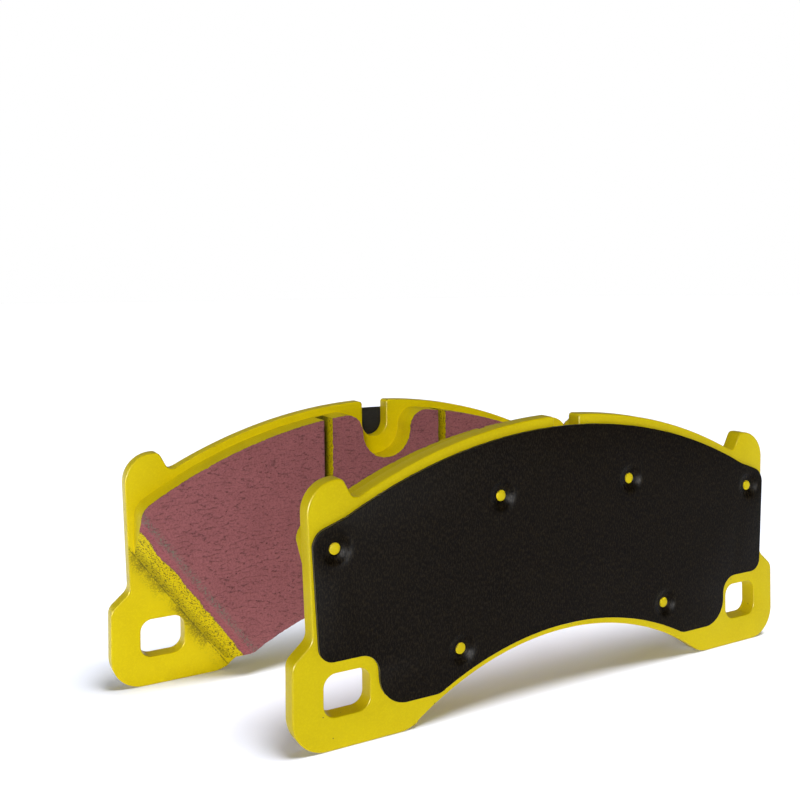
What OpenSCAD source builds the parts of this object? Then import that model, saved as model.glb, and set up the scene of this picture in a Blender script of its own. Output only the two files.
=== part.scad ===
// A pair of disc brake pads for a fixed caliper, standing on their ears with the linings facing.
// X runs along the pads, Y is the disc's axis, Z is up. The origin is on the floor,
// midway between the two friction faces and midway between the pads' centres.

/* [Pair] */
// Space between the two friction faces as the pads stand
face_gap = 44; // [36:1:60]
// How far the rear pad stands to the left of the front pad
stagger = 35; // [0:1:60]

/* [Backing plate] */
// Length over the lower ears
plate_length = 193.4; // [190:0.2:196]
// Height from the ears' feet to the top of the crown
plate_height = 89.2; // [88:0.2:91]
// Thickness of the steel plate
plate_t = 5.6; // [4.5:0.1:7]
// Radius of the convex top edge
crown_r = 165.9; // [160:0.5:172]
// Radius of the hollow bottom edge
arch_r = 101.3; // [98:0.5:105]
// Height of the bottom edge at the middle
arch_height = 19.4; // [18.5:0.1:20.5]
// Half length at the waist, just above the ears
waist_half = 90.5; // [89.5:0.1:91]
// Half length at the upper hooks
hook_half = 92.3; // [91.5:0.1:93]
// Height of the upper hooks
hook_height = 76.8; // [76:0.1:78]
// Width of the window in each ear
window_w = 14.6; // [12:0.1:15]
// Height of the window in each ear
window_h = 12.4; // [11.5:0.1:13.5]
// Width of the slot in the middle of the top edge
slot_w = 10.2; // [9:0.1:12]
// Depth of that slot
slot_depth = 13.4; // [10:0.1:14]

/* [Friction lining] */
// Height of the lining above the plate, bonding layer and bedding coat included
lining_t = 10.2; // [8:0.1:12]
// Thickness of the bonding layer under the lining
underlayer_t = 1.6; // [1:0.1:2.5]
// Thickness of the bedding coat on the lining
coat_t = 0.2; // [0.1:0.05:0.4]
// Margin between the lining and the plate's top edge
crown_margin = 2.5; // [1.5:0.1:3.5]
// Margin between the lining and the plate's hollow bottom edge
arch_margin = 2.2; // [1.8:0.1:3]
// Half length of the lining
lining_half = 89.1; // [88.5:0.1:89.5]
// Distance from the middle to each saw slot
saw_x = 23.4; // [20:0.1:26]
// Width of each saw slot
saw_w = 3.1; // [1.5:0.1:4]
// Half width of the notch in the lining's top edge
notch_half = 9.7; // [9:0.1:11]
// Slope of the chamfered ends, in degrees from the plate
chamfer_slope = 52; // [46:1:56]

/* [Shim] */
// Thickness of the steel core
core_t = 0.8; // [0.6:0.05:1]
// Thickness of each rubber layer on the core
rubber_t = 0.2; // [0.15:0.05:0.3]
// Thickness of the adhesive film
adhesive_t = 0.1; // [0.1:0.05:0.15]
// Radius of the flat-topped pegs that locate the shim
peg_r = 1.65; // [1.4:0.05:1.9]
// Radius of the dimple around each peg
dimple_r = 6; // [5:0.1:6.5]

/* [Hidden] */

plate_colour = [0.86, 0.76, 0.02];
lining_colour = [0.56, 0.37, 0.38];
under_colour = [0.24, 0.22, 0.2];
shim_colour = [0.15, 0.14, 0.12];
steel_colour = [0.55, 0.56, 0.58];

arc_steps = 14;      // steps along each half of a long edge
fillet_steps = 7;    // steps round each rounded corner
round_sides = 48;    // sides of each peg and of the opening round it
past = 1;            // how far a cutting solid runs past what it cuts
skin = 0.1;          // the same, where a cutting cone has to keep its shape

// Depths along Y, counted outwards from the friction face
plate_near = lining_t;
plate_far = plate_near + plate_t;
adhesive_far = plate_far + adhesive_t;
inner_rubber_far = adhesive_far + rubber_t;
core_far = inner_rubber_far + core_t;
shim_far = core_far + rubber_t;

// Backing plate
ear_half = plate_length / 2;
ear_round = 10.5;
foot_round = 9;      // where the hollow bottom edge runs into an ear's foot
shoulder_round = 4;
crown_centre = plate_height - crown_r;
arch_centre = arch_height - arch_r;
arch_foot = sqrt(arch_r ^ 2 - arch_centre ^ 2);
hook_round = 9.4;
hook_tip = hook_half - 11.5;   // inner end of the hook's top
hook_notch = hook_tip - 3.6;   // foot of the notch beside the hook
tip_round = 2.2;
notch_round = 2.4;
slot_mouth_round = 1.2;
waist_height = 31.6;
ear_height = 26.2;
window_x = 79.9;
window_z = 15.5;
window_round = 3.8;

// Lining
lining_crown_r = crown_r - crown_margin;
lining_arch_r = arch_r + arch_margin;
chamfer_top = [-88.3, 56.3];  // two points on the chamfer's upper edge, on the friction face
chamfer_foot = [-56, 13.2];
notch_floor = 69.4;
notch_mouth = 6.5;
lining_foot_x = 58.2;       // where the bottom arc ends and the chamfered end starts
lining_end_foot = 41.5;       // height at which the lining's end wall starts
lining_foot_round = 1.5;
lining_heel_round = 2.5;
lining_top_round = 6;

// Shim
shim_crown_r = 169.8;
shim_crown_centre = -83.9;
shim_arch_r = 105.9;
shim_arch_centre = -84.3;
shim_side = [[90.9, 61.9], [88.7, 25.5]];   // top and foot of the shim's end
shim_step_x = 69.9;
shim_foot = 9.2;
shim_arc_end = 80;
shim_foot_round = 6;
shim_step_round = 9;
shim_waist_round = 6;
shim_heel_round = 4.5;
shim_top_round = 5.5;
peg_hole_r = 2.3;           // radius of the opening at the bottom of a dimple
dimple_slope = 1;           // how much the opening widens through the outer rubber layer
peg_rise = 0.25;            // height of a peg's flat top over the plate
pegs = [[83.6, 57.2], [26.4, 65.8], [41.8, 20.9]];

function unit(v) = v / norm(v);
function flat(p) = [p[0], p[1]];

// A corner at b between a and c, rounded to radius r
function corner(a, b, c, r) =
    let (u = unit(a - b), v = unit(c - b), half = acos(u * v) / 2,
         centre = b + unit(u + v) * r / sin(half),
         p = b + u * r / tan(half) - centre, q = b + v * r / tan(half) - centre,
         start = atan2(p[1], p[0]), turn = (atan2(q[1], q[0]) - start + 540) % 360 - 180)
    [for (i = [0:fillet_steps])
        centre + r * [cos(start + turn * i / fillet_steps), sin(start + turn * i / fillet_steps)]];

// A closed outline through [x, z, radius] corners
function rounded(pts) =
    let (n = len(pts))
    [for (i = [0:n - 1]) each
        pts[i][2] == 0 ? [flat(pts[i])]
        : corner(flat(pts[(i + n - 1) % n]), flat(pts[i]), flat(pts[(i + 1) % n]), pts[i][2])];

// Points on an arc about the middle line, from half width x0 to x1, without its two ends
function arc_between(r, centre, x0, x1) =
    let (a0 = asin(x0 / r), a1 = asin(x1 / r))
    [for (i = [1:arc_steps - 1])
        let (a = a0 + (a1 - a0) * i / arc_steps) [r * sin(a), centre + r * cos(a), 0]];
function arc_z(r, centre, x) = centre + sqrt(r ^ 2 - x ^ 2);

// The right half's corners, run from the bottom middle to the top middle, and their mirror image
function both_halves(right) =
    concat(right, [for (i = [len(right) - 1:-1:0]) [-right[i][0], right[i][1], right[i][2]]]);

slot_r = slot_w / 2;
plate_outline = both_halves(concat(
    arc_between(arch_r, arch_centre, 0, arch_foot),
    [[arch_foot, 0, foot_round], [ear_half, 0, ear_round], [ear_half, ear_height, shoulder_round],
     [waist_half, waist_height, shoulder_round], [hook_half, hook_height, hook_round],
     [hook_tip, hook_height, tip_round],
     [hook_notch, arc_z(crown_r, crown_centre, hook_notch), notch_round]],
    arc_between(crown_r, crown_centre, hook_notch, slot_r),
    [[slot_r, arc_z(crown_r, crown_centre, slot_r), slot_mouth_round],
     [slot_r, plate_height - slot_depth + slot_r, 0]],
    [for (i = [1:fillet_steps - 1])
        let (a = 90 * i / fillet_steps)
        [slot_r * cos(a), plate_height - slot_depth + slot_r - slot_r * sin(a), 0]]));

window_outline = [
    [-window_w / 2, -window_h / 2, window_round], [window_w / 2, -window_h / 2, window_round],
    [window_w / 2, window_h / 2, window_round], [-window_w / 2, window_h / 2, window_round]];

lining_top_z = arc_z(lining_crown_r, crown_centre, lining_half);
notch_end = notch_half + notch_mouth + 1;   // where the top edge starts to turn into the notch
lining_foot_z = arc_z(lining_arch_r, arch_centre, lining_foot_x);
lining_outline = both_halves(concat(
    arc_between(lining_arch_r, arch_centre, 0, lining_foot_x),
    [[lining_foot_x, lining_foot_z, lining_foot_round],
     [lining_half, lining_end_foot, lining_heel_round],
     [lining_half, lining_top_z, lining_top_round]],
    arc_between(lining_crown_r, crown_centre, lining_half, notch_end),
    [[notch_end, arc_z(lining_crown_r, crown_centre, notch_end), 0],
     [notch_half, arc_z(lining_crown_r, crown_centre, notch_half), notch_mouth],
     [notch_half, notch_floor + notch_half, 0]],
    [for (i = [1:fillet_steps - 1])
        let (a = 90 * i / fillet_steps)
        [notch_half * cos(a), notch_floor + notch_half - notch_half * sin(a), 0]]));

shim_arch_foot = sqrt(shim_arch_r ^ 2 - (shim_foot - shim_arch_centre) ^ 2);
shim_outline = both_halves(concat(
    arc_between(shim_arch_r, shim_arch_centre, 0, shim_arch_foot),
    [[shim_arch_foot, shim_foot, shim_foot_round], [shim_step_x, shim_foot, shim_step_round],
     [shim_step_x, shim_side[1][1], shim_waist_round],
     [shim_side[1][0], shim_side[1][1], shim_heel_round],
     [shim_side[0][0], shim_side[0][1], shim_top_round],
     [shim_arc_end, arc_z(shim_crown_r, shim_crown_centre, shim_arc_end), 0]],
    arc_between(shim_crown_r, shim_crown_centre, shim_arc_end, 0),
    [[0, shim_crown_centre + shim_crown_r, 0]]));

// An outline in X and Z, made solid between two depths from the friction face
module slab(outline, near, far) {
    translate([0, -near, 0]) rotate([90, 0, 0]) linear_extrude(far - near) polygon(rounded(outline));
}

module at_pegs() {
    for (p = pegs, side = [-1, 1]) translate([side * p[0], 0, p[1]]) rotate([90, 0, 0]) children();
}

// The half space that leaves the sloped end of the lining on the left
module end_chamfer() {
    run = chamfer_foot - chamfer_top;
    across = atan2(run[1], run[0]);
    size = 120;
    translate([chamfer_top[0], 0, chamfer_top[1]]) rotate([0, -across, 0])
        rotate([chamfer_slope, 0, 0]) translate([-size / 2, -size / 4, -size])
        cube([size * 1.5, size, size]);
}

// Part of the lining between two depths and two places along X
module lining(near, far, x_from, x_to) {
    difference() {
        intersection() {
            slab(lining_outline, near, far);
            translate([x_from, -far - past, 0]) cube([x_to - x_from, far - near + 2 * past, plate_height]);
        }
        end_chamfer();
        mirror([1, 0, 0]) end_chamfer();
    }
}

module backing_plate() {
    color(plate_colour) difference() {
        slab(plate_outline, plate_near, plate_far);
        for (side = [-1, 1]) translate([side * window_x, 0, window_z])
            slab(window_outline, plate_near - past, plate_far + past);
    }
}

module underlayer() {
    color(under_colour) lining(plate_near - underlayer_t, plate_near, -plate_length, plate_length);
}

module lining_left() {
    color(lining_colour) lining(coat_t, plate_near - underlayer_t, -plate_length, -saw_x - saw_w / 2);
}

module lining_centre() {
    color(lining_colour) lining(coat_t, plate_near - underlayer_t, -saw_x + saw_w / 2, saw_x - saw_w / 2);
}

module lining_right() {
    color(lining_colour) lining(coat_t, plate_near - underlayer_t, saw_x + saw_w / 2, plate_length);
}

module bedding_coat() {
    color(lining_colour) {
        lining(0, coat_t, -plate_length, -saw_x - saw_w / 2);
        lining(0, coat_t, -saw_x + saw_w / 2, saw_x - saw_w / 2);
        lining(0, coat_t, saw_x + saw_w / 2, plate_length);
    }
}

// One layer of the shim, opened round the pegs
module shim_layer(near, far, hole_near, hole_far) {
    difference() {
        slab(shim_outline, near, far);
        at_pegs() translate([0, 0, near - skin])
            cylinder(h = far - near + 2 * skin, r1 = hole_near, r2 = hole_far, $fn = round_sides);
    }
}

module shim_adhesive() {
    color(steel_colour) shim_layer(plate_far, adhesive_far, peg_hole_r, peg_hole_r);
}

module shim_inner_rubber() {
    color(shim_colour) shim_layer(adhesive_far, inner_rubber_far, peg_hole_r, peg_hole_r);
}

module shim_steel_core() {
    color(steel_colour) shim_layer(inner_rubber_far, core_far, peg_hole_r, dimple_r - dimple_slope);
}

module shim_outer_rubber() {
    color(shim_colour) shim_layer(core_far, shim_far, dimple_r - dimple_slope, dimple_r);
}

module shim_pegs() {
    color(plate_colour) at_pegs() translate([0, 0, plate_far])
        cylinder(h = peg_rise, r = peg_r, $fn = round_sides);
}

module front_pad() { translate([stagger / 2, -face_gap / 2, 0]) children(); }
module rear_pad() { translate([-stagger / 2, face_gap / 2, 0]) rotate([0, 0, 180]) children(); }

front_pad() backing_plate();  // front_backing_plate
front_pad() underlayer();  // front_underlayer
front_pad() lining_left();  // front_lining_left
front_pad() lining_centre();  // front_lining_centre
front_pad() lining_right();  // front_lining_right
front_pad() bedding_coat();  // front_bedding_coat
front_pad() shim_adhesive();  // front_shim_adhesive
front_pad() shim_inner_rubber();  // front_shim_inner_rubber
front_pad() shim_steel_core();  // front_shim_steel_core
front_pad() shim_outer_rubber();  // front_shim_outer_rubber
front_pad() shim_pegs();  // front_shim_pegs
rear_pad() backing_plate();  // rear_backing_plate
rear_pad() underlayer();  // rear_underlayer
rear_pad() lining_right();  // rear_lining_left
rear_pad() lining_centre();  // rear_lining_centre
rear_pad() lining_left();  // rear_lining_right
rear_pad() bedding_coat();  // rear_bedding_coat
rear_pad() shim_adhesive();  // rear_shim_adhesive
rear_pad() shim_inner_rubber();  // rear_shim_inner_rubber
rear_pad() shim_steel_core();  // rear_shim_steel_core
rear_pad() shim_outer_rubber();  // rear_shim_outer_rubber
rear_pad() shim_pegs();  // rear_shim_pegs
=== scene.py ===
import math

import bmesh
import bpy
from mathutils import Matrix, Vector, noise


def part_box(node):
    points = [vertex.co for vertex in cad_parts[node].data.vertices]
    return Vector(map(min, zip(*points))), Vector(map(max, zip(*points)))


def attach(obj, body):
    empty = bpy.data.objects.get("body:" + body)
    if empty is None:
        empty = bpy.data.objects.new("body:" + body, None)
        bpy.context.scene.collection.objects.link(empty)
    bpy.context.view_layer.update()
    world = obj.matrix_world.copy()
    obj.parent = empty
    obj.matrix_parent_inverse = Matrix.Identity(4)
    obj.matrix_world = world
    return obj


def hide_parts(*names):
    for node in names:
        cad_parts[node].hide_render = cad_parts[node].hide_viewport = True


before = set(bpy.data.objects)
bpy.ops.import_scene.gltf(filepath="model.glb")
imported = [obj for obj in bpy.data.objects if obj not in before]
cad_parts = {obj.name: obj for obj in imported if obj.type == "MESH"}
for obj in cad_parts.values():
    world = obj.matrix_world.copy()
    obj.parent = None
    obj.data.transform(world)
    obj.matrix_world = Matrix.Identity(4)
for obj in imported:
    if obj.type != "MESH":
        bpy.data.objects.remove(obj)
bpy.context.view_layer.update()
MM = 0.001

# ---------------------------------------------------------------- sizes, in millimetres, as the CAD has them
PLATE_T, LINING_T, UNDER_T, COAT_T = 5.6, 10.2, 1.6, 0.2
SHIM_T, PEG_RISE, PEG_R = 1.3, 0.25, 1.65
SKIN_BACK = 1.1                      # the outer rubber starts this far over the plate
PLATE_H, CROWN_R, ARCH_R, ARCH_H = 89.2, 165.9, 101.3, 19.4
EAR_HALF, WAIST_HALF, HOOK_HALF, HOOK_H = 96.7, 90.5, 92.3, 76.8
SLOT_R, SLOT_D = 5.1, 13.4
WINDOW_X, WINDOW_Z, WINDOW_W, WINDOW_H, WINDOW_R = 79.9, 15.5, 14.6, 12.4, 3.8
CROWN_MARGIN, ARCH_MARGIN, LINING_HALF, SAW_X, SAW_W = 2.5, 2.2, 89.1, 23.4, 3.1
LINING_FOOT_X, LINING_END_Z, LINING_TOP_X = 58.2, 41.5, 85.8    # where its arch, its end and its crown arc stop
NOTCH_HALF, NOTCH_FLOOR, NOTCH_MOUTH, NOTCH_END = 9.7, 69.4, 6.5, 17.2
SHIM_CROWN_R, SHIM_CROWN, SHIM_ARCH_R, SHIM_ARCH, SHIM_FOOT_Z = 169.8, -83.9, 105.9, -84.3, 9.2
CHAMFER_TOP, CHAMFER_FOOT, CHAMFER_SLOPE = (-88.3, 56.3), (-56.0, 13.2), 52.0
PEGS = [(83.6, 57.2), (26.4, 65.8), (41.8, 20.9)]
EDGE_STEP = 2.2                      # longest stretch of a smooth outline between two points


# ---------------------------------------------------------------- outlines
def fillet(a, b, c, r, steps):
    a, b, c = Vector(a), Vector(b), Vector(c)
    u, v = (a - b).normalized(), (c - b).normalized()
    half = math.acos(max(-1, min(1, u.dot(v)))) / 2
    centre = b + (u + v).normalized() * r / math.sin(half)
    p, q = b + u * r / math.tan(half) - centre, b + v * r / math.tan(half) - centre
    start = math.atan2(p.y, p.x)
    turn = (math.atan2(q.y, q.x) - start + 3 * math.pi) % (2 * math.pi) - math.pi
    return [
        (centre.x + r * math.cos(start + turn * i / steps), centre.y + r * math.sin(start + turn * i / steps))
        for i in range(steps + 1)
    ]


def rounded(points):
    out, n = [], len(points)
    for i, (x, z, r) in enumerate(points):
        if r == 0:
            out.append((x, z))
        else:
            out += fillet(points[i - 1][:2], (x, z), points[(i + 1) % n][:2], r, max(6, int(6 + r * 1.3)))
    return out


def arc_z(r, centre, x):
    return centre + math.sqrt(r * r - x * x)


def arc(r, centre, x0, x1, steps=44):
    a0, a1 = math.asin(x0 / r), math.asin(x1 / r)
    angles = [a0 + (a1 - a0) * i / steps for i in range(1, steps)]
    return [(r * math.sin(a), centre + r * math.cos(a), 0) for a in angles]


def slot_floor(r, z, steps=16):
    turns = [math.pi / 2 * i / steps for i in range(1, steps)]
    return [(r * math.cos(t), z - r * math.sin(t), 0) for t in turns]


def both_halves(right):
    return right + [(-x, z, r) for x, z, r in reversed(right)]


def plate_outline():
    crown, arch = PLATE_H - CROWN_R, ARCH_H - ARCH_R
    foot = math.sqrt(ARCH_R**2 - arch**2)
    tip = HOOK_HALF - 11.5
    notch = tip - 3.6
    return rounded(both_halves(
        arc(ARCH_R, arch, 0, foot)
        + [(foot, 0, 9), (EAR_HALF, 0, 10.5), (EAR_HALF, 26.2, 4), (WAIST_HALF, 31.6, 4),
           (HOOK_HALF, HOOK_H, 9.4), (tip, HOOK_H, 2.2), (notch, arc_z(CROWN_R, crown, notch), 2.4)]
        + arc(CROWN_R, crown, notch, SLOT_R)
        + [(SLOT_R, arc_z(CROWN_R, crown, SLOT_R), 1.2), (SLOT_R, PLATE_H - SLOT_D + SLOT_R, 0)]
        + slot_floor(SLOT_R, PLATE_H - SLOT_D + SLOT_R)
    ))


def window_outline(side):
    w, h, x, z, r = WINDOW_W / 2, WINDOW_H / 2, side * WINDOW_X, WINDOW_Z, WINDOW_R
    return rounded([(x - w, z - h, r), (x + w, z - h, r), (x + w, z + h, r), (x - w, z + h, r)])


def lining_outline():
    crown_r, crown = CROWN_R - CROWN_MARGIN, PLATE_H - CROWN_R
    arch_r, arch = ARCH_R + ARCH_MARGIN, ARCH_H - ARCH_R
    return rounded(both_halves(
        arc(arch_r, arch, 0, LINING_FOOT_X)
        + [(LINING_FOOT_X, arc_z(arch_r, arch, LINING_FOOT_X), 1.5), (LINING_HALF, LINING_END_Z, 2.5),
           (LINING_HALF, arc_z(crown_r, crown, LINING_HALF), 6),
           (LINING_TOP_X, arc_z(crown_r, crown, LINING_TOP_X), 0)]
        + arc(crown_r, crown, LINING_TOP_X, NOTCH_END)
        + [(NOTCH_END, arc_z(crown_r, crown, NOTCH_END), 0),
           (NOTCH_HALF, arc_z(crown_r, crown, NOTCH_HALF), NOTCH_MOUTH), (NOTCH_HALF, NOTCH_FLOOR + NOTCH_HALF, 0)]
        + slot_floor(NOTCH_HALF, NOTCH_FLOOR + NOTCH_HALF)
    ))


def shim_outline():
    foot = math.sqrt(SHIM_ARCH_R**2 - (SHIM_FOOT_Z - SHIM_ARCH) ** 2)
    return rounded(both_halves(
        arc(SHIM_ARCH_R, SHIM_ARCH, 0, foot)
        + [(foot, SHIM_FOOT_Z, 6), (69.9, SHIM_FOOT_Z, 9), (69.9, 25.5, 6), (88.7, 25.5, 4.5), (90.9, 61.9, 5.5),
           (80, arc_z(SHIM_CROWN_R, SHIM_CROWN, 80), 0)]
        + arc(SHIM_CROWN_R, SHIM_CROWN, 80, 0)
        + [(0, SHIM_CROWN + SHIM_CROWN_R, 0)]
    ))


def tidy(loop, least=0.02):
    """The loop without points that lie on their neighbour."""
    out = []
    for p in loop:
        if not out or math.dist(p, out[-1]) > least:
            out.append(p)
    while math.dist(out[0], out[-1]) <= least:
        out.pop()
    return out


def inset(loop, amounts):
    """The loop moved inwards, each point by its own amount."""
    area = sum(a[0] * b[1] - b[0] * a[1] for a, b in zip(loop, loop[1:] + loop[:1]))
    turn = 1 if area > 0 else -1
    out, n = [], len(loop)
    for i, p in enumerate(loop):
        a, b = loop[i - 1], loop[(i + 1) % n]
        before = Vector((p[0] - a[0], p[1] - a[1])).normalized()
        after = Vector((b[0] - p[0], b[1] - p[1])).normalized()
        d = (before + after).normalized()
        share = max(0.6, d.dot(before))
        step = amounts[i] if isinstance(amounts, list) else amounts
        out.append((p[0] - turn * d.y * step / share, p[1] + turn * d.x * step / share))
    return out


def clip(loop, x_cut, keep_right):
    """The part of the loop on one side of an upright line."""
    out, n = [], len(loop)
    inside = lambda p: (p[0] >= x_cut) == keep_right
    for i, p in enumerate(loop):
        q = loop[(i + 1) % n]
        if inside(p):
            out.append(p)
        if inside(p) != inside(q):
            t = (x_cut - p[0]) / (q[0] - p[0])
            out.append((x_cut, p[1] + t * (q[1] - p[1])))
    return out


def resample(loop, step):
    """The loop with extra points, so that no stretch is longer than step."""
    out, n = [], len(loop)
    for i, p in enumerate(loop):
        q = loop[(i + 1) % n]
        parts = max(1, math.ceil(math.dist(p, q) / step))
        out += [(p[0] + (q[0] - p[0]) * k / parts, p[1] + (q[1] - p[1]) * k / parts) for k in range(parts)]
    return out


# ---------------------------------------------------------------- the two pads' places, from the frame
class Pad:
    """Turns a pad's own coordinates into the frame's: x along it, y outwards from its friction face, z up."""

    def __init__(self, side):
        self.side, self.body = side, side + "_pad"
        low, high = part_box(side + "_backing_plate")
        coat_low, coat_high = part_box(side + "_bedding_coat")
        self.middle = (low.x + high.x) / 2
        self.face = coat_high.y if side == "front" else coat_low.y
        self.out = -1 if side == "front" else 1

    def place(self, x, y, z):
        across = x if self.side == "front" else -x
        return Vector((self.middle + across * MM, self.face + self.out * y * MM, z * MM))

    def finish(self, bm, name, slot, materials, stands_for, sharp=35):
        """Turns bm, in pad millimetres, into a piece that rides on this pad."""
        mesh = bpy.data.meshes.new(f"{self.side}_{name}")
        bmesh.ops.recalc_face_normals(bm, faces=bm.faces)
        own = [v.co.copy() for v in bm.verts]
        for v in bm.verts:
            v.co = self.place(*v.co)
        bmesh.ops.reverse_faces(bm, faces=bm.faces)
        bm.to_mesh(mesh)
        bm.free()
        for m in materials:
            mesh.materials.append(m)
        place = mesh.attributes.new("pad", "FLOAT_VECTOR", "POINT")
        place.data.foreach_set("vector", [c for p in own for c in p])
        mesh.polygons.foreach_set("use_smooth", [True] * len(mesh.polygons))
        mesh.set_sharp_from_angle(angle=math.radians(sharp))
        obj = bpy.data.objects.new(f"{self.side}_{name}_look", mesh)
        bpy.context.scene.collection.objects.link(obj)
        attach(obj, self.body)
        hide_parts(*[f"{self.side}_{n}" for n in stands_for])
        return obj


def ring(bm, loop, y):
    return [bm.verts.new((p[0], y, p[1])) for p in loop]


def skin(bm, rings, material=0):
    for low, high in zip(rings, rings[1:]):
        n = len(low)
        for i in range(n):
            face = bm.faces.new((low[i], low[(i + 1) % n], high[(i + 1) % n], high[i]))
            face.material_index = material


def cap(bm, loops, material=0):
    edges = []
    for loop in loops:
        n = len(loop)
        for i in range(n):
            edge = bm.edges.get((loop[i], loop[(i + 1) % n]))
            edges.append(edge or bm.edges.new((loop[i], loop[(i + 1) % n])))
    made = bmesh.ops.triangle_fill(bm, use_beauty=True, use_dissolve=False, edges=edges, normal=(0, 1, 0))
    for g in made["geom"]:
        if isinstance(g, bmesh.types.BMFace):
            g.material_index = material
            g.smooth = False


def rim(near, far, near_r, far_r, steps=6):
    """(inset, depth) along the edge of a plate with both edges rounded, from its near face to its far face."""
    turns = [math.pi / 2 * i / steps for i in range(steps + 1)]
    first = [(near_r * (1 - math.sin(t)), near + near_r * (1 - math.cos(t))) for t in turns]
    last = [(far_r * (1 - math.sin(t)), far - far_r * (1 - math.cos(t))) for t in reversed(turns)]
    return first + last


# ---------------------------------------------------------------- materials
class Look:
    """A short way to write a node material. Lengths in its noises are millimetres."""

    def __init__(self, name, own=True):
        self.material = bpy.data.materials.new(name)
        self.material.use_nodes = True
        self.tree = self.material.node_tree
        self.tree.nodes.clear()
        self.end = self.tree.nodes.new("ShaderNodeOutputMaterial")
        self.shader = self.tree.nodes.new("ShaderNodeBsdfPrincipled")
        self.join(self.shader.outputs["BSDF"], self.end.inputs["Surface"])
        if own:
            node = self.tree.nodes.new("ShaderNodeAttribute")
            node.attribute_name = "pad"
            self.where = node.outputs["Vector"]
        else:
            node = self.tree.nodes.new("ShaderNodeTexCoord")
            self.where = self.scaled(node.outputs["Object"], (1 / MM,) * 3)

    def join(self, a, b):
        self.tree.links.new(a, b)

    def put(self, socket, value):
        if isinstance(value, bpy.types.NodeSocket):
            self.join(value, socket)
        else:
            socket.default_value = value

    def scaled(self, vector, by):
        node = self.tree.nodes.new("ShaderNodeVectorMath")
        node.operation = "MULTIPLY"
        self.put(node.inputs[0], vector)
        node.inputs[1].default_value = by
        return node.outputs["Vector"]

    def noise(self, size, detail=3.0, rough=0.55, stretch=None, twist=0.0, shift=None):
        vector = self.where
        if stretch:
            vector = self.scaled(vector, stretch)
        if shift:
            node = self.tree.nodes.new("ShaderNodeVectorMath")
            node.operation = "ADD"
            self.put(node.inputs[0], vector)
            node.inputs[1].default_value = shift
            vector = node.outputs["Vector"]
        node = self.tree.nodes.new("ShaderNodeTexNoise")
        self.put(node.inputs["Vector"], vector)
        node.inputs["Scale"].default_value = 1 / size
        node.inputs["Detail"].default_value = detail
        node.inputs["Roughness"].default_value = rough
        node.inputs["Distortion"].default_value = twist
        return node.outputs["Fac"]

    def cells(self, size, feature="F1", stretch=None, at=None):
        node = self.tree.nodes.new("ShaderNodeTexVoronoi")
        node.feature = feature
        at = at or self.where
        self.put(node.inputs["Vector"], self.scaled(at, stretch) if stretch else at)
        node.inputs["Scale"].default_value = 1 / size
        return node.outputs["Distance"]

    def part(self, axis):
        node = self.tree.nodes.new("ShaderNodeSeparateXYZ")
        self.join(self.where, node.inputs[0])
        return node.outputs[axis]

    def past_chamfer(self):
        """Distance outwards from the upper edge of the nearer end chamfer, measured along the plate."""
        across = self.sum("SUBTRACT", self.sum("ABSOLUTE", self.part("X"), 0.0), -CHAMFER_TOP[0])
        down = self.sum("SUBTRACT", CHAMFER_TOP[1], self.part("Z"))
        length = math.dist(CHAMFER_TOP, CHAMFER_FOOT)
        return self.sum("ADD", self.sum("MULTIPLY", across, (CHAMFER_TOP[1] - CHAMFER_FOOT[1]) / length),
                        self.sum("MULTIPLY", down, (CHAMFER_FOOT[0] - CHAMFER_TOP[0]) / length))

    def warped(self, size, amount):
        """The place, moved about by a soft noise, so that lines drawn with it wander."""
        node = self.tree.nodes.new("ShaderNodeTexNoise")
        self.put(node.inputs["Vector"], self.where)
        node.inputs["Scale"].default_value = 1 / size
        node.inputs["Detail"].default_value = 2
        centred = self.tree.nodes.new("ShaderNodeVectorMath")
        centred.operation = "SUBTRACT"
        self.put(centred.inputs[0], node.outputs["Color"])
        centred.inputs[1].default_value = (0.5, 0.5, 0.5)
        moved = self.tree.nodes.new("ShaderNodeVectorMath")
        moved.operation = "ADD"
        self.put(moved.inputs[0], self.where)
        self.put(moved.inputs[1], self.scaled(centred.outputs["Vector"], (amount,) * 3))
        return moved.outputs["Vector"]

    def range(self, value, low, high, out_low=0.0, out_high=1.0):
        node = self.tree.nodes.new("ShaderNodeMapRange")
        node.interpolation_type = "SMOOTHSTEP"
        self.put(node.inputs["Value"], value)
        node.inputs["From Min"].default_value = low
        node.inputs["From Max"].default_value = high
        node.inputs["To Min"].default_value = out_low
        node.inputs["To Max"].default_value = out_high
        return node.outputs["Result"]

    def sum(self, operation, a, b):
        node = self.tree.nodes.new("ShaderNodeMath")
        node.operation = operation
        self.put(node.inputs[0], a)
        self.put(node.inputs[1], b)
        return node.outputs[0]

    def blend(self, amount, a, b):
        node = self.tree.nodes.new("ShaderNodeMix")
        node.data_type = "RGBA"
        self.put(node.inputs["Factor"], amount)
        self.put(node.inputs[6], a + (1,) if isinstance(a, tuple) else a)
        self.put(node.inputs[7], b + (1,) if isinstance(b, tuple) else b)
        return node.outputs[2]

    def relief(self, height, millimetres, below=None):
        node = self.tree.nodes.new("ShaderNodeBump")
        node.inputs["Strength"].default_value = 1.0
        node.inputs["Distance"].default_value = millimetres * MM
        self.put(node.inputs["Height"], height)
        if below:
            self.join(below, node.inputs["Normal"])
        return node.outputs["Normal"]

    def set(self, **values):
        for name, value in values.items():
            self.put(self.shader.inputs[name.replace("_", " ")], value)
        return self.material


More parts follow.
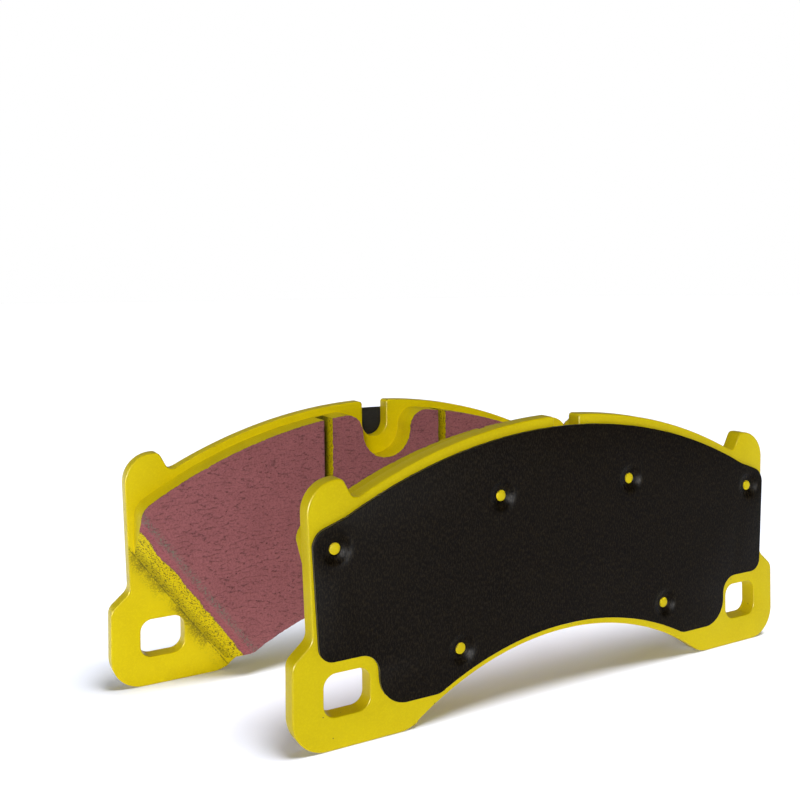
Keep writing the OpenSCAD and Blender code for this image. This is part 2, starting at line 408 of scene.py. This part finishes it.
YELLOW, YELLOW_DEEP, YELLOW_PALE = (0.610, 0.475, 0.0006), (0.575, 0.440, 0.0006), (0.690, 0.555, 0.0012)
OLIVE, OLIVE_DARK, OLIVE_SPECK = (0.300, 0.262, 0.004), (0.075, 0.064, 0.006), (0.080, 0.068, 0.008)
PINK, PINK_DARK, PINK_PALE = (0.288, 0.101, 0.103), (0.160, 0.050, 0.053), (0.345, 0.142, 0.142)
PINK_FRESH = (0.295, 0.090, 0.100)
PIT, WORN = (0.050, 0.022, 0.024), (0.170, 0.142, 0.112)


def paint_look(name):
    """Satin powder coat: slow colour drift, a fine grain and shallow orange peel. On the plate below each chamfered
    end an olive painted shade broken into speckle, and a dark speckled line of painted shade along the chamfer's
    foot."""
    look = Look(name)
    colour = look.blend(look.range(look.noise(14, 2), 0.35, 0.7), YELLOW, YELLOW_DEEP)
    colour = look.blend(look.range(look.noise(0.5, 3, 0.7), 0.42, 0.70, 0, 0.5), colour, YELLOW_PALE)
    past = look.sum("SUBTRACT", look.past_chamfer(), LINING_T / math.tan(math.radians(CHAMFER_SLOPE)))
    near_face = look.range(look.part("Y"), LINING_T + 0.1, LINING_T + 0.3, 1, 0)
    # painted shade: a mask for the plate's friction side just past the chamfer's foot, fading out over about 6.5 mm
    below = look.sum("MULTIPLY", look.range(past, -0.8, -0.2), look.range(past, -0.1, 6.5, 1, 0))
    below = look.sum("MULTIPLY", below, near_face)
    below = look.sum("MULTIPLY", below, look.range(look.noise(11, 2, shift=(3, 0, 8)), 0.40, 0.60, 0.45, 1.0))
    # speckle that breaks the painted shade up, thicker near the foot
    speckled_shade = look.range(look.sum("ADD", look.noise(0.5, 3, 0.8), look.sum("MULTIPLY", below, 0.20)), 0.52, 0.70)
    colour = look.blend(look.sum("MULTIPLY", speckled_shade, look.sum("MULTIPLY", below, 0.8)), colour, OLIVE_DARK)
    # a dark line along the chamfer's foot, painted shade in that crease, broken into specks like pinholed paint
    foot = look.range(look.sum("ABSOLUTE", look.sum("SUBTRACT", past, 0.2), 0.0), 0.05, 0.35, 0.75, 0)
    foot = look.sum("MULTIPLY", foot, look.range(look.noise(0.9, 3, 0.7), 0.42, 0.52))
    foot = look.sum("MULTIPLY", foot, near_face)
    colour = look.blend(foot, colour, OLIVE_DARK)
    pits = look.sum("MULTIPLY", look.range(look.cells(2.6), 0.045, 0.085, 1, 0),
                    look.range(look.noise(9, 1, shift=(31, 7, 3)), 0.58, 0.63))
    colour = look.blend(pits, colour, OLIVE_DARK)
    normal = look.relief(look.noise(1.1, 2, 0.5), 0.035)
    normal = look.relief(look.noise(0.26, 2, 0.6), 0.012, normal)
    normal = look.relief(look.sum("SUBTRACT", 1.0, pits), 0.1, normal)
    rough = look.range(look.noise(0.9, 3), 0.3, 0.7, 0.28, 0.38)
    return look.set(Base_Color=colour, Roughness=rough, Normal=normal, Specular_IOR_Level=0.07)


def friction_colour(look, ground=PINK):
    """Pressed friction compound: mauve ground, mixed grains, dark pits and short level crazing."""
    colour = look.blend(look.range(look.noise(9, 2), 0.3, 0.75, 0, 0.2), ground, PINK_DARK)
    colour = look.blend(look.range(look.noise(0.7, 4, 0.75), 0.42, 0.64, 0, 0.68), colour, PINK_DARK)
    colour = look.blend(look.range(look.cells(0.8), 0.0, 0.17, 0.5, 0), colour, PINK_PALE)
    lines = look.cells(1.35, "DISTANCE_TO_EDGE", stretch=(0.2, 1.0, 1.0), at=look.warped(1.2, 0.7))
    broken = look.range(look.noise(0.9, 2, 0.6, stretch=(0.4, 1, 1.1)), 0.48, 0.58)
    craze = look.sum("MULTIPLY", look.range(lines, 0.010, 0.065, 1, 0), broken)
    pits = look.sum("MULTIPLY", look.range(look.cells(1.7), 0.08, 0.17, 1, 0),
                    look.range(look.noise(2.1, 1, shift=(5, 17, 9)), 0.52, 0.60))
    dents = look.sum("MAXIMUM", look.sum("MULTIPLY", craze, 0.52), look.sum("MULTIPLY", pits, 0.8))
    return look.blend(dents, colour, PIT), dents


def friction_relief(look, dents):
    normal = look.relief(look.noise(0.95, 3, 0.6, stretch=(0.6, 1, 1)), 0.10)
    normal = look.relief(look.noise(0.4, 3, 0.7), 0.045, normal)
    return look.relief(look.sum("SUBTRACT", 1.0, dents), 0.26, normal)


def friction_look(name):
    """The friction face, with the grey worn line where it breaks into the chamfered ends."""
    look = Look(name)
    colour, dents = friction_colour(look)
    line = look.range(look.sum("ABSOLUTE", look.sum("ADD", look.past_chamfer(), 1.0), 0.0), 0.2, 1.9, 1, 0)
    worn = look.range(look.sum("ADD", look.noise(0.8, 3, 0.75), look.sum("MULTIPLY", line, 0.04)), 0.54, 0.58)
    colour = look.blend(look.sum("MULTIPLY", worn, look.sum("MULTIPLY", line, 0.95)), colour, WORN)
    rough = look.range(look.noise(0.8, 3), 0.3, 0.7, 0.78, 0.95)
    return look.set(Base_Color=colour, Roughness=rough, Normal=friction_relief(look, dents), Specular_IOR_Level=0.18)


def overspray_look(name, thick, bare_to, ground=PINK, shade=None, grain=OLIVE_DARK):
    """Paint over a cut lining surface, worn back to the bare compound along the friction face. Where thick is
    low the dark grains show through; shade is the depth where painted shade starts to darken the paint towards the
    plate, and how dark that painted shade gets."""
    look = Look(name)
    paint = look.blend(look.range(look.noise(6, 2), 0.35, 0.7), YELLOW, YELLOW_DEEP)
    paint = look.blend(look.range(look.noise(0.4, 3, 0.7), 0.45, 0.7, 0, 0.35), paint, OLIVE)
    # painted shade: darker olive the deeper the surface lies, in the saw slots down to their floor and on the
    # chamfers towards the plate
    if shade:
        paint = look.blend(look.range(look.part("Y"), shade[0], LINING_T - 0.8, 0, shade[1]), paint, OLIVE_DARK)
    cover = look.sum("ADD", look.noise(0.72, 4, 0.8), thick)
    grains = look.range(cover, 0.45, 0.51, 1.0, 0)
    paint = look.blend(grains, paint, grain)
    bare, dents = friction_colour(look, ground)
    edge = look.sum("MULTIPLY", look.range(look.part("Y"), 0.1, 1.1, 1, 0),
                    look.range(look.noise(1.2, 5, 0.9), 0.50, 0.54))
    bare = look.blend(look.sum("MULTIPLY", edge, 0.7), bare, WORN)
    height = look.sum("ADD", look.part("Y"), look.range(look.noise(1.1, 4, 0.75), 0.2, 0.8, -0.4, 0.4))
    if bare_to > 1:
        height = look.sum("ADD", height, look.range(look.noise(9, 1), 0.3, 0.7, -0.5, 0.5))
    covered = look.range(height, bare_to - 0.1, bare_to + 0.1)
    colour = look.blend(covered, bare, paint)
    seam = look.range(look.sum("ABSOLUTE", look.sum("SUBTRACT", height, bare_to), 0.0), 0.03, 0.17, 0.55, 0)
    colour = look.blend(seam, colour, PIT)
    normal = look.relief(look.noise(0.9, 3, 0.65), 0.09)
    normal = look.relief(look.noise(0.24, 3, 0.8), 0.06, normal)
    rough = look.range(covered, 0, 1, 0.88, 0.5)
    return look.set(Base_Color=colour, Roughness=rough, Normal=normal, Specular_IOR_Level=0.1)


def shim_look(name):
    """Rubber-coated shim: near black, a fine upright weave and pebble, faint scuffs."""
    look = Look(name)
    colour = look.blend(look.range(look.noise(18, 3), 0.3, 0.75), (0.0022, 0.0013, 0.0004), (0.0036, 0.0023, 0.0007))
    weave = look.noise(0.66, 3, 0.7, stretch=(1.6, 1, 0.6))
    colour = look.blend(look.range(weave, 0.46, 0.61, 0, 1.0), colour, (0.0135, 0.0095, 0.0042))
    flecks = look.range(look.cells(1.2), 0.03, 0.09, 0.3, 0)
    colour = look.blend(flecks, colour, (0.040, 0.036, 0.028))
    normal = look.relief(weave, 0.05)
    normal = look.relief(look.noise(0.8, 3, 0.6), 0.03, normal)
    rough = look.range(look.noise(1.2, 4, 0.7), 0.3, 0.7, 0.34, 0.46)
    wall = look.range(look.part("Y"), LINING_T + PLATE_T + 0.9, LINING_T + PLATE_T + 1.2, 1, 0)
    rough = look.sum("SUBTRACT", rough, look.sum("MULTIPLY", wall, 0.12))
    return look.set(Base_Color=colour, Roughness=rough, Normal=normal, Specular_IOR_Level=0.032)


def steel_look(name, base, pale, rough_low, rough_high, metal):
    """Cut sheet edge: fine streaks along it and dark spots."""
    look = Look(name, own=False)
    streak = look.noise(0.25, 3, 0.6, stretch=(0.2, 3, 1))
    colour = look.blend(look.range(streak, 0.35, 0.7), base, pale)
    colour = look.blend(look.range(look.noise(2.2, 3), 0.55, 0.75, 0, 0.6), colour, (0.02, 0.018, 0.015))
    rough = look.range(streak, 0.3, 0.7, rough_low, rough_high)
    return look.set(Base_Color=colour, Roughness=rough, Normal=look.relief(streak, 0.02), Metallic=metal,
                    Specular_IOR_Level=0.12)


paint = paint_look("yellow_powder_coat")
friction_face = friction_look("friction_face")
wall_paint = overspray_look("lining_wall_overspray", 0.30, 0.22)
# the saw slots carry strong painted shade towards their floor; the chamfers a lighter painted shade towards the plate
slot_paint_and_shade = overspray_look("saw_slot_overspray_and_shade", 0.05, 0.10, shade=(1.5, 0.97))
chamfer_paint_and_shade = overspray_look("chamfer_overspray_and_shade", 0.03, 3.2, PINK_FRESH, shade=(6.5, 0.40), grain=OLIVE_SPECK)
shim_rubber = shim_look("shim_rubber")
shim_steel = steel_look("shim_steel_edge", (0.05, 0.048, 0.045), (0.16, 0.155, 0.15), 0.35, 0.6, 0.7)
rubber_edge = steel_look("shim_inner_rubber_edge", (0.012, 0.011, 0.009), (0.03, 0.027, 0.022), 0.6, 0.8, 0.0)
adhesive = steel_look("adhesive_film", (0.010, 0.009, 0.008), (0.020, 0.018, 0.015), 0.5, 0.7, 0.0)


# ---------------------------------------------------------------- pieces
def make_plate(pad):
    bm = bmesh.new()
    outer, near, far = tidy(resample(plate_outline(), EDGE_STEP)), LINING_T, LINING_T + PLATE_T
    rings = [ring(bm, inset(outer, cut), y) for cut, y in rim(near, far, 0.35, 0.55)]
    skin(bm, rings)
    firsts, lasts = [rings[0]], [rings[-1]]
    for side in (-1, 1):
        hole = tidy(window_outline(side))
        rings = [ring(bm, inset(hole, -cut), y) for cut, y in rim(near, far, 0.25, 0.35)]
        skin(bm, rings)
        firsts.append(rings[0])
        lasts.append(rings[-1])
    cap(bm, firsts)
    cap(bm, lasts)
    pad.finish(bm, "backing_plate", "yellow_paint", [paint], ["backing_plate"], 60)


def make_shim(pad):
    """The outer rubber layer, drawn down into a cone round each peg."""
    bm = bmesh.new()
    plate_far = LINING_T + PLATE_T
    back, far = plate_far + SKIN_BACK, plate_far + SHIM_T
    outer = tidy(resample(shim_outline(), EDGE_STEP))
    # (radius, height over the plate) down a dimple; it runs just over the steel core's own cone
    cone = [(6.7, SHIM_T), (6.35, 1.297), (6.0, 1.285), (5.65, 1.262), (5.3, 1.225), (5.0, 1.18), (4.75, 1.125),
            (4.5, 1.045), (4.2, 0.925), (3.8, 0.77), (3.4, 0.62), (3.05, 0.49), (2.8, 0.42), (2.55, 0.355),
            (2.3, 0.31), (2.1, 0.25), (1.92, 0.17), (1.8, 0.1), (1.74, 0.05)]
    edge = [(0, back), (0.0, far - 0.19), (0.03, far - 0.1), (0.09, far - 0.035), (0.2, far)]
    rings = [ring(bm, inset(outer, cut), y) for cut, y in edge]
    skin(bm, rings)
    fronts, backs = [rings[-1]], [rings[0]]
    for px, pz in PEGS:
        for side in (-1, 1):
            turns = [2 * math.pi * i / 56 for i in range(56)]
            circle = lambda r: [(side * px + r * math.cos(t), pz + r * math.sin(t)) for t in turns]
            down = [ring(bm, circle(r), plate_far + h) for r, h in cone]
            down += [ring(bm, circle(1.9), plate_far + 0.03), ring(bm, circle(2.28), plate_far + 0.24),
                     ring(bm, circle(4.95), back)]
            skin(bm, down)
            fronts.append(down[0])
            backs.append(down[-1])
    cap(bm, fronts)
    cap(bm, backs)
    pad.finish(bm, "shim_outer_rubber", "shim_rubber", [shim_rubber], ["shim_outer_rubber"], 60)


def make_pegs(pad):
    bm = bmesh.new()
    low, high = LINING_T + PLATE_T, LINING_T + PLATE_T + PEG_RISE
    for px, pz in PEGS:
        for side in (-1, 1):
            turns = [2 * math.pi * i / 40 for i in range(40)]
            shape = [(PEG_R, low), (PEG_R, high - 0.1), (PEG_R - 0.03, high - 0.03), (PEG_R - 0.1, high), (0.6, high)]
            circle = lambda r: [(side * px + r * math.cos(t), pz + r * math.sin(t)) for t in turns]
            rings = [ring(bm, circle(r), y) for r, y in shape]
            skin(bm, rings)
            cap(bm, [rings[0]])
            cap(bm, [rings[-1]])
    pad.finish(bm, "shim_pegs", "yellow_paint", [paint], ["shim_pegs"], 60)


def chipped(x, z, seed):
    """How far the rim of the friction face is broken back here, in millimetres."""
    rough = noise.fractal(Vector((x * 0.9, seed, z * 0.9)), 0.8, 2.2, 4)
    deep = noise.noise(Vector((x * 0.35, seed + 9, z * 0.35)))
    return max(0.0, rough * 0.17) + max(0.0, deep - 0.25) * 0.5 + 0.03


def lining_part(bm, pad, x0, x1, depths):
    """A length of the lining between two places along the pad; depths are (depth, share of the rim's chips)."""
    loop = lining_outline()
    if x0 is not None:
        loop = clip(loop, x0, True)
    if x1 is not None:
        loop = clip(loop, x1, False)
    loop = tidy(resample(tidy(loop), 0.45), 0.05)
    seed = 3.0 if pad.side == "front" else 41.0
    rings = []
    for depth, share in depths:
        cuts = []
        for x, z in loop:
            wall = 0.05 * (1 + noise.noise(Vector((x * 1.3, depth * 1.3 + seed, z * 1.3))))
            cuts.append(wall + share * chipped(x, z, seed))
        rings.append(ring(bm, inset(loop, cuts), depth))
    before = set(bm.faces)
    skin(bm, rings, 1)
    cap(bm, [rings[0]], 0)
    cap(bm, [rings[-1]], 0)
    cut_walls = [c for c in (x0, x1) if c is not None]
    for face in bm.faces:
        if face not in before and face.material_index == 1:
            if any(abs(face.calc_center_median().x - c) < 0.35 for c in cut_walls) and abs(face.normal.x) > 0.8:
                face.material_index = 2


def cut_chamfers(bm):
    """Slopes both ends, and closes each cut with its own material."""
    run = Vector((CHAMFER_FOOT[0] - CHAMFER_TOP[0], CHAMFER_FOOT[1] - CHAMFER_TOP[1])).normalized()
    slope = math.radians(CHAMFER_SLOPE)
    for side in (-1, 1):
        normal = Vector((run.y * math.sin(slope) * -side, -math.cos(slope), -run.x * math.sin(slope)))
        start = Vector((CHAMFER_TOP[0] * -side, 0, CHAMFER_TOP[1]))
        cut = bmesh.ops.bisect_plane(bm, geom=bm.verts[:] + bm.edges[:] + bm.faces[:], dist=1e-5,
                                     plane_co=start, plane_no=normal, clear_outer=True)
        edges = [g for g in cut["geom_cut"] if isinstance(g, bmesh.types.BMEdge)]
        if edges:
            made = bmesh.ops.triangle_fill(bm, use_beauty=True, use_dissolve=False, edges=edges, normal=normal)
            for g in made["geom"]:
                if isinstance(g, bmesh.types.BMFace):
                    g.material_index = 3


SPANS = [("left", None, -SAW_X - SAW_W / 2), ("centre", -SAW_X + SAW_W / 2, SAW_X - SAW_W / 2),
         ("right", SAW_X + SAW_W / 2, None)]
BLOCK = [(LINING_T - UNDER_T, 0.0), (6.4, 0.0), (4.0, 0.0), (2.0, 0.04), (1.0, 0.18), (0.5, 0.5), (COAT_T, 0.85)]
COAT = [(COAT_T, 0.85), (0.1, 0.95), (0.0, 1.12)]


def make_linings(pad):
    looks = [friction_face, wall_paint, slot_paint_and_shade, chamfer_paint_and_shade]
    for name, x0, x1 in SPANS:
        bm = bmesh.new()
        lining_part(bm, pad, x0, x1, BLOCK)
        cut_chamfers(bm)
        # the rear pad is turned round, so its left block is the one drawn on the right
        if pad.side == "rear" and name != "centre":
            name = "right" if name == "left" else "left"
        pad.finish(bm, "lining_" + name, "friction", looks, ["lining_" + name], 40)
    bm = bmesh.new()
    for name, x0, x1 in SPANS:
        lining_part(bm, pad, x0, x1, COAT)
    cut_chamfers(bm)
    pad.finish(bm, "bedding_coat", "bedding", looks, ["bedding_coat"], 40)


def make_underlayer(pad):
    """The bonding layer, one piece under all three blocks; at the bottom of the saw slots it is painted over and
    darkened with painted shade.
    """
    bm = bmesh.new()
    lining_part(bm, pad, None, None, [(LINING_T, 0.0), (LINING_T - UNDER_T / 2, 0.0), (LINING_T - UNDER_T, 0.0)])
    cut_chamfers(bm)
    pad.finish(bm, "underlayer", "bonding", [slot_paint_and_shade, wall_paint, slot_paint_and_shade, chamfer_paint_and_shade], ["underlayer"], 40)


def dress(node, material):
    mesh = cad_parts[node].data
    mesh.materials.clear()
    mesh.materials.append(material)


for side in ("front", "rear"):
    pad = Pad(side)
    make_plate(pad)
    make_shim(pad)
    make_pegs(pad)
    make_linings(pad)
    make_underlayer(pad)
    dress(side + "_shim_steel_core", shim_steel)
    dress(side + "_shim_inner_rubber", rubber_edge)
    dress(side + "_shim_adhesive", adhesive)


# ---------------------------------------------------------------- floor, light and camera
def make_floor():
    bm = bmesh.new()
    steps, half = 24, 12.0
    grid = [[bm.verts.new((half * (2 * i / steps - 1), half * (2 * j / steps - 1), 0)) for i in range(steps + 1)]
            for j in range(steps + 1)]
    for j in range(steps):
        for i in range(steps):
            bm.faces.new((grid[j][i], grid[j][i + 1], grid[j + 1][i + 1], grid[j + 1][i]))
    mesh = bpy.data.meshes.new("floor")
    bm.to_mesh(mesh)
    bm.free()
    floor = bpy.data.objects.new("floor", mesh)
    bpy.context.scene.collection.objects.link(floor)
    look = Look("pale_floor", own=False)
    colour = look.blend(look.range(look.noise(60, 2), 0.3, 0.7), (0.77, 0.80, 0.90), (0.79, 0.82, 0.92))
    look.set(Base_Color=colour, Roughness=0.75, Specular_IOR_Level=0.2)
    look.shader.inputs["Emission Color"].default_value = (1, 1, 1, 1)
    look.shader.inputs["Emission Strength"].default_value = 0.10
    mesh.materials.append(look.material)
    return floor


def group(name, objects):
    chosen = bpy.data.collections.new(name)
    for obj in objects:
        chosen.objects.link(obj)
    return chosen


def sun(name, towards, strength, angle, lights=None, shaded_by=None, diffuse=True):
    """A wide soft light from one direction, so that the floor is lit evenly. It can be kept to some objects, or
    to the shadows of some; with diffuse off it only makes highlights."""
    data = bpy.data.lights.new(name, "SUN")
    data.energy, data.angle = strength, math.radians(angle)
    light = bpy.data.objects.new(name, data)
    light.rotation_mode = "QUATERNION"
    light.rotation_quaternion = Vector(towards).to_track_quat("-Z", "Y")
    bpy.context.scene.collection.objects.link(light)
    light.visible_diffuse = diffuse
    if lights:
        light.light_linking.receiver_collection = group(name + "_lights", lights)
    if shaded_by:
        light.light_linking.blocker_collection = group(name + "_shaded_by", shaded_by)


floor = make_floor()
metal = [obj for obj in bpy.data.objects if obj.type == "MESH" and obj is not floor]
behind = [obj for obj in metal if obj.name.startswith("rear")]
shims = [obj for obj in metal if "shim" in obj.name]
plates = [obj for obj in metal if "backing_plate" in obj.name]
KEY_TOWARDS, KEY_ANGLE = (0.50, 0.80, -0.42), 18
sun("key", KEY_TOWARDS, 1.55, KEY_ANGLE, lights=metal, shaded_by=behind)
sun("rear_key", KEY_TOWARDS, 0.70, KEY_ANGLE, lights=behind, shaded_by=behind)
sun("top", (-0.12, -0.22, -1.0), 0.35, 34)
sun("floor_wash", (-0.20, 0.22, -1.0), 3.7, 26, lights=[floor])
sun("sheen", (0.05, 0.98, 0.02), 6.0, 20, lights=shims, shaded_by=metal, diffuse=False)
sun("edge", (0.75, 0.60, -0.12), 40.0, 10, lights=plates, diffuse=False)

world = bpy.data.worlds.new("studio")
world.use_nodes = True
tree = world.node_tree
tree.nodes.clear()
ends = tree.nodes.new("ShaderNodeOutputWorld")
seen, lit = tree.nodes.new("ShaderNodeBackground"), tree.nodes.new("ShaderNodeBackground")
seen.inputs["Color"].default_value, seen.inputs["Strength"].default_value = (1, 1, 1, 1), 1.0
lit.inputs["Color"].default_value, lit.inputs["Strength"].default_value = (1, 1, 1, 1), 0.18
pick, path = tree.nodes.new("ShaderNodeMixShader"), tree.nodes.new("ShaderNodeLightPath")
tree.links.new(path.outputs["Is Camera Ray"], pick.inputs[0])
tree.links.new(lit.outputs[0], pick.inputs[1])
tree.links.new(seen.outputs[0], pick.inputs[2])
tree.links.new(pick.outputs[0], ends.inputs["Surface"])
bpy.context.scene.world = world
bpy.context.scene.view_settings.view_transform = "Standard"
bpy.context.scene.view_settings.look = "None"

# a level camera at the photograph's angle: its yaw, its roll, and the horizon's place above the middle
YAW, ROLL, FOCAL, HORIZON = math.radians(28.58), math.radians(-0.46), 920.0, 291.4
STANDS = Vector((-0.1741, -0.2761, 0.1300))
ahead = Vector((math.sin(YAW), math.cos(YAW), 0))
level, up = Vector((math.cos(YAW), -math.sin(YAW), 0)), Vector((0, 0, 1))
right = math.cos(ROLL) * level + math.sin(ROLL) * up
above = -math.sin(ROLL) * level + math.cos(ROLL) * up
camera_data = bpy.data.cameras.new("camera")
camera_data.sensor_fit, camera_data.sensor_width = "HORIZONTAL", 36.0
camera_data.lens = FOCAL * 36 / 800
camera_data.shift_y = (HORIZON - 400) / 800
camera_data.clip_start, camera_data.clip_end = 0.01, 20
camera = bpy.data.objects.new("camera", camera_data)
bpy.context.scene.collection.objects.link(camera)
camera.matrix_world = Matrix((
    (right.x, above.x, -ahead.x, STANDS.x),
    (right.y, above.y, -ahead.y, STANDS.y),
    (right.z, above.z, -ahead.z, STANDS.z),
    (0, 0, 0, 1),
))
bpy.context.scene.camera = camera
